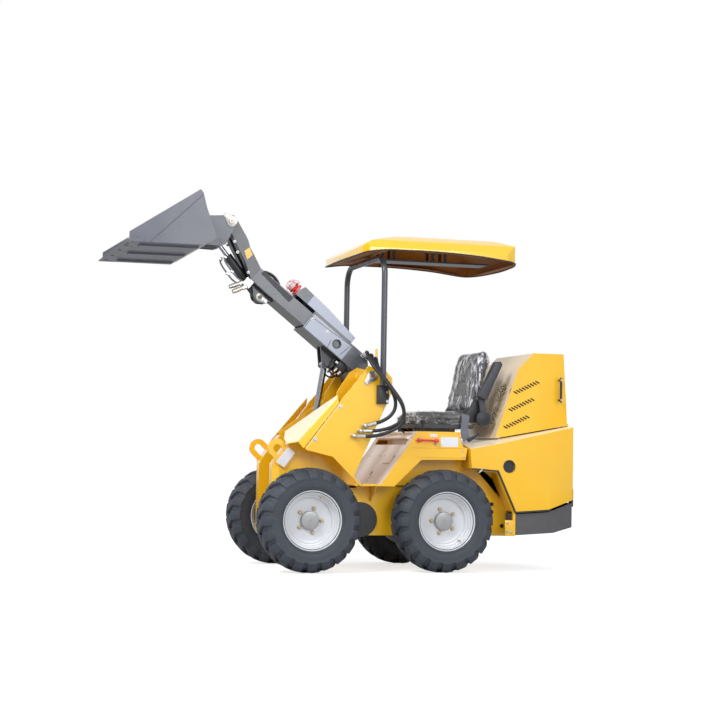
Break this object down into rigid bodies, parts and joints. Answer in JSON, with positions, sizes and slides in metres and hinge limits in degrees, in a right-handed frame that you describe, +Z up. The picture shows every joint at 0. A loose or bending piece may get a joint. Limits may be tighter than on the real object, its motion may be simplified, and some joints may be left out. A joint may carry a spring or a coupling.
{
  "type": "wheel loader",
  "caption": "Compact rigid-frame wheel loader with a raised telescopic lift arm, bucket, open seat, roll hoop and canopy, four driven wheels and a rear engine under a hood.",
  "frame": {"origin": "centre of the overall box, on the ground under the tyres", "axes": "+X forward, towards the bucket; +Y to the machine's left; +Z up"},
  "size_m": [2.7042, 1.07, 2.0868],
  "materials": {
    "yellow_paint": "gloss yellow",
    "grey_paint": "satin grey",
    "bucket_paint": "satin grey",
    "dark_paint": "satin near-black",
    "bumper_paint": "matte dark grey",
    "rim_paint": "gloss off-white",
    "canopy_plastic": "gloss yellow",
    "tyre_rubber": "matte",
    "hose_rubber": "matte",
    "seat_cover": "satin black",
    "black_plastic": "matte",
    "belt_web": "woven grey",
    "chrome_steel": "polished",
    "zinc_steel": "zinc plated",
    "lamp_plastic": "red and clear",
    "engine_iron": "matte"
  },
  "bodies": {
    "chassis": {"main_frame": "yellow_paint", "nose_posts": "yellow_paint", "tower_plates": "yellow_paint", "front_cover": "yellow_paint", "fender_sides": "yellow_paint", "front_panel": "yellow_paint", "seat_box": "yellow_paint", "wheel_motors": "dark_paint", "rear_body": "yellow_paint", "rear_trim": "black_plastic", "bumper": "bumper_paint", "engine": "engine_iron", "roll_hoop": "grey_paint", "canopy": "canopy_plastic", "seat_cushion": "seat_cover", "seat_back": "seat_cover", "seat_base": "black_plastic", "seat_belt": "belt_web", "levers": "black_plastic", "hoses": "hose_rubber", "hose_fittings": "zinc_steel"},
    "boom": {"boom": "grey_paint", "hose_cover": "grey_paint", "work_lamp": "lamp_plastic", "boom_pin": "zinc_steel"},
    "inner_boom": {"inner_boom": "grey_paint", "boom_head": "grey_paint", "couplers": "zinc_steel"},
    "bucket": {"bucket": "bucket_paint", "bucket_mount": "bucket_paint"},
    "lift_barrel": {"lift_barrel": "dark_paint"},
    "lift_rod": {"lift_rod": "chrome_steel"},
    "tilt_barrel": {"tilt_barrel": "dark_paint"},
    "tilt_rod": {"tilt_rod": "chrome_steel"},
    "hood": {"hood": "yellow_paint", "hood_grilles": "black_plastic", "hood_handles": "black_plastic"},
    "wheel_front_left": {"tyre_front_left": "tyre_rubber", "rim_front_left": "rim_paint"},
    "wheel_front_right": {"tyre_front_right": "tyre_rubber", "rim_front_right": "rim_paint"},
    "wheel_rear_left": {"tyre_rear_left": "tyre_rubber", "rim_rear_left": "rim_paint"},
    "wheel_rear_right": {"tyre_rear_right": "tyre_rubber", "rim_rear_right": "rim_paint"}
  },
  "joints": [
    {"name": "wheel_front_left", "type": "hinge", "parent": "chassis", "child": "wheel_front_left", "pos_m": [0.2739, 0.4, 0.292], "axis": [0, 1, 0], "continuous": true},
    {"name": "wheel_front_right", "type": "hinge", "parent": "chassis", "child": "wheel_front_right", "pos_m": [0.2739, -0.4, 0.292], "axis": [0, 1, 0], "continuous": true},
    {"name": "wheel_rear_left", "type": "hinge", "parent": "chassis", "child": "wheel_rear_left", "pos_m": [-0.5101, 0.4, 0.292], "axis": [0, 1, 0], "continuous": true},
    {"name": "wheel_rear_right", "type": "hinge", "parent": "chassis", "child": "wheel_rear_right", "pos_m": [-0.5101, -0.4, 0.292], "axis": [0, 1, 0], "continuous": true},
    {"name": "lift", "type": "hinge", "parent": "chassis", "child": "boom", "pos_m": [-0.0911, 0, 1.104], "axis": [0, -1, 0], "range_deg": [-99, 6]},
    {"name": "telescope", "type": "slide", "parent": "boom", "child": "inner_boom", "axis": [0.7832, 0, 0.6218], "range_m": [-0.05, 0.28]},
    {"name": "tilt", "type": "hinge", "parent": "inner_boom", "child": "bucket", "pos_m": [0.6861, 0, 1.97776], "axis": [0, 1, 0], "range_deg": [-115, 20]},
    {"name": "lift_barrel_swing", "type": "hinge", "parent": "chassis", "child": "lift_barrel", "pos_m": [0.2289, 0, 0.33], "axis": [0, -1, 0], "range_deg": [-10, 14]},
    {"name": "lift_rod_slide", "type": "slide", "parent": "lift_barrel", "child": "lift_rod", "axis": [-0.1601, 0, 0.9871], "range_m": [-0.3, 0.03]},
    {"name": "tilt_barrel_swing", "type": "hinge", "parent": "inner_boom", "child": "tilt_barrel", "pos_m": [0.49465, 0, 1.55632], "axis": [0, 1, 0], "range_deg": [-12, 12]},
    {"name": "tilt_rod_slide", "type": "slide", "parent": "tilt_barrel", "child": "tilt_rod", "axis": [0.6249, 0, 0.7807], "range_m": [-0.05, 0.22]},
    {"name": "hood_hinge", "type": "hinge", "parent": "chassis", "child": "hood", "pos_m": [-1.3321, 0, 0.858], "axis": [0, -1, 0], "range_deg": [0, 50]}
  ],
  "couplings": [
    {"joint": "lift_barrel_swing", "follows": "lift", "ratio": -0.13},
    {"joint": "lift_rod_slide", "follows": "lift", "m_per_rad": 0.16},
    {"joint": "tilt_barrel_swing", "follows": "tilt", "ratio": 0.07},
    {"joint": "tilt_rod_slide", "follows": "tilt", "m_per_rad": -0.1}
  ]
}
